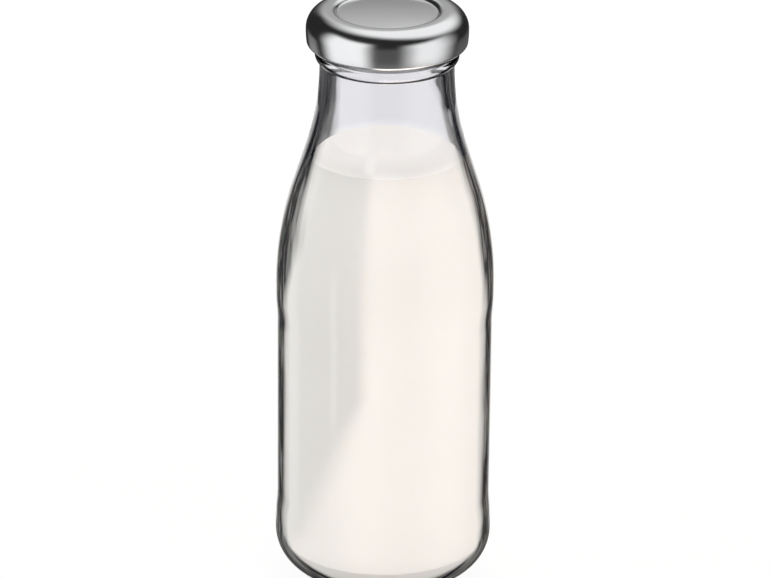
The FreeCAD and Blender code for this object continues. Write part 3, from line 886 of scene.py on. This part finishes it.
def light_sheet(name, lows, highs, steps, place, glow):
    """A sheet of light round the object. place(azimuth, level) puts each point, and glow colours it."""
    vertices = []
    colours = []
    for row in range(steps[1] + 1):
        level = lows[1] + (highs[1] - lows[1]) * row / steps[1]
        for column in range(steps[0] + 1):
            azimuth = lows[0] + (highs[0] - lows[0]) * column / steps[0]
            vertices.append(place(azimuth, level))
            colours.extend((*glow(azimuth, level), 1.0))
    across = steps[0] + 1
    corners = [row * across + column for row in range(steps[1]) for column in range(steps[0])]
    faces = [(corner, corner + 1, corner + across + 1, corner + across) for corner in corners]
    sheet = make_piece(name, vertices, faces, smooth=False)
    painted = sheet.data.color_attributes.new(name="glow", type="FLOAT_COLOR", domain="POINT")
    painted.data.foreach_set("color", colours)
    sheet.data.materials.append(glow_material(name))
    sheet.visible_camera = False
    sheet.visible_diffuse = False
    sheet.visible_transmission = False
    sheet.visible_shadow = False


CAP_MIDDLE = Vector((0, 0, 165 * MM))
TENT_RADIUS = 0.2
TENT_DARK = 0.025
DISH = aim(150, 60)
DISH_LIGHT = 1.18
LEFT_BOX_LIGHT = 1.25
RIGHT_BOX_LIGHT = 1.15
BACK_LIGHT = 1.1


def tent_place(azimuth, elevation):
    return CAP_MIDDLE + TENT_RADIUS * aim(azimuth, elevation)


def tent_glow(azimuth, elevation):
    """Round the cap: a box of light on each side, a wide dish above and behind, and dark between them."""
    dish = DISH_LIGHT * fall(math.degrees(aim(azimuth, elevation).angle(DISH)), 23, 53)
    left = LEFT_BOX_LIGHT * between(azimuth, -106, -76, -38, -14) * fall(elevation, 30, 47)
    left *= 0.85 + 0.15 * ease(elevation, -36, -24)
    right = RIGHT_BOX_LIGHT * between(azimuth, 11, 48, 64, 114) * fall(elevation, 23, 42)
    right *= 0.5 + 0.5 * ease(elevation, -38, -22)
    boxes = (left + right) * ease(elevation, -54, -38)
    back = BACK_LIGHT * ease(abs(azimuth), 148, 170) * ease(elevation, -7, 57)
    front = (0.08 * fall(elevation, 5, 30) + 0.09 * fall(elevation, -34, -22)) * fall(abs(azimuth), 20, 35)
    sides = 0.3 * between(azimuth, -150, -132, -120, -106) + 0.11 * ease(azimuth, 104, 118)
    sides *= fall(elevation, -26, -8)
    floor = 0.12 * fall(elevation, -50, -40)
    light = TENT_DARK + max(dish, boxes, back) + front + sides + floor
    return light, light, light


SLEEVE_RADIUS = 45 * MM
SLEEVE_TOP = 139 * MM
SLEEVE_SLANT = 9 * MM  # how much lower its top is at the back
SLEEVE_DARK = 0.01
BOXES_MEET = -14.5
BOXES_LEAN = 1.06  # degrees that the boxes' meeting line turns for each millimetre down
LEAN_START = 58 * MM
WARM = (1.14, 1.0, 0.9)
COOL = (0.95, 1.0, 0.98)


def sleeve_place(azimuth, height):
    way = SLEEVE_RADIUS * aim(azimuth, 0)
    return way.x, way.y, height - SLEEVE_SLANT * abs(azimuth) / 180 * height / SLEEVE_TOP


def sleeve_glow(azimuth, height):
    """Round the body: a tall warm box of light on the right, a weak cool one on the left, white behind.

    The stretches are in degrees round the body and, for up, in millimetres above the table.
    """
    up = height / MM
    meet = BOXES_MEET - BOXES_LEAN * max(0.0, LEAN_START - height) / MM
    soft = 8 + 6 * fall(up, 35, 60)
    past = ease(azimuth, meet - soft, meet + soft)

    box = (2.5 + 1.9 * fall(azimuth, -40, 34)) * (1 - 0.62 * ease(azimuth, 36, 84))
    box *= (1 - 0.55 * fall(azimuth, -60, 0)) * fall(azimuth, 82, 90)
    box *= (1 + 0.35 * fall(up, 70, 105)) * (1 - 0.85 * ease(up, 134, 138))
    box *= past

    slit = 1.1 * between(azimuth, -41, -38, -36, -33) * between(up, 40, 55, 90, 110)
    left = 0.3 + 0.6 * fall(azimuth, -76, -66) + slit
    left *= ease(azimuth, -90, -83) * (1 - past)

    window = 2.2 * between(azimuth, -26, -20, -15, -9) * between(up, 135.2, 136.6, 137.8, 138.8)
    white = SLEEVE_DARK + ease(abs(azimuth), 116, 124) + window
    return tuple(white + box * warm + left * cool for warm, cool in zip(WARM, COOL))


FOOT_SHADE_LIFT = 0.4 * MM
FOOT_SHADE_LIGHT = 0.03


def foot_place(azimuth, radius):
    way = radius * aim(azimuth, 0)
    return way.x, way.y, FOOT_SHADE_LIFT


def foot_glow(azimuth, radius):
    """A dark ring just over the table, mirrored by the heel."""
    return (FOOT_SHADE_LIGHT,) * 3


# ---------------------------------------------------------------------------------------------------------
# Lamps and camera
# ---------------------------------------------------------------------------------------------------------
LAMP_AIM = Vector((0, 0, 80 * MM))


def lamp(name, azimuth, elevation, distance, size, watts, colour):
    """A soft lamp that lights the object but isn't mirrored in it."""
    data = bpy.data.lights.new(name, "AREA")
    data.shape = "RECTANGLE"
    data.size, data.size_y = size
    data.energy = watts
    data.color = colour
    lamp_object = bpy.data.objects.new(name, data)
    bpy.context.scene.collection.objects.link(lamp_object)
    way = aim(azimuth, elevation)
    lamp_object.location = LAMP_AIM + way * distance
    lamp_object.rotation_euler = (-way).to_track_quat("-Z", "Y").to_euler()
    lamp_object.visible_glossy = False
    lamp_object.visible_transmission = False


CAMERA_AIM = Vector((0, 0, 85.9 * MM))
CAMERA_DISTANCE = 1.3974
CAMERA_ELEVATION = math.radians(23.5)
CAMERA_ROLL = math.radians(0.54)
LENS = 229.0909  # in millimetres, for a sensor 36 mm wide


def make_camera():
    data = bpy.data.cameras.new("camera")
    data.sensor_width = 36.0
    data.lens = LENS
    data.clip_start = 0.05
    data.clip_end = 50.0
    camera = bpy.data.objects.new("camera", data)
    bpy.context.scene.collection.objects.link(camera)
    away = Vector((0, -math.cos(CAMERA_ELEVATION), math.sin(CAMERA_ELEVATION)))
    camera.location = CAMERA_AIM + CAMERA_DISTANCE * away
    look = Euler((math.pi / 2 - CAMERA_ELEVATION, 0, 0)).to_matrix()
    camera.rotation_euler = (look @ Matrix.Rotation(CAMERA_ROLL, 3, "Z")).to_euler()
    bpy.context.scene.camera = camera


make_table()
light_sheet("tent", (-180, -50), (180, 90), (180, 70), tent_place, tent_glow)
light_sheet("foot", (-180, 20.5 * MM), (180, 70 * MM), (120, 10), foot_place, foot_glow)
light_sheet("sleeve", (-180, 0.5 * MM), (180, SLEEVE_TOP), (240, 180), sleeve_place, sleeve_glow)

lamp("key", 50, 30, 1.1, (0.7, 0.9), 4.6, (1.0, 0.985, 0.96))
lamp("fill", -80, 14, 1.1, (0.4, 0.9), 3.7, (0.91, 0.98, 1.0))
lamp("top", 180, 32, 1.0, (0.8, 0.8), 12.0, (1.0, 0.98, 0.94))

light_world()
make_camera()
bpy.context.scene.view_settings.view_transform = "Standard"
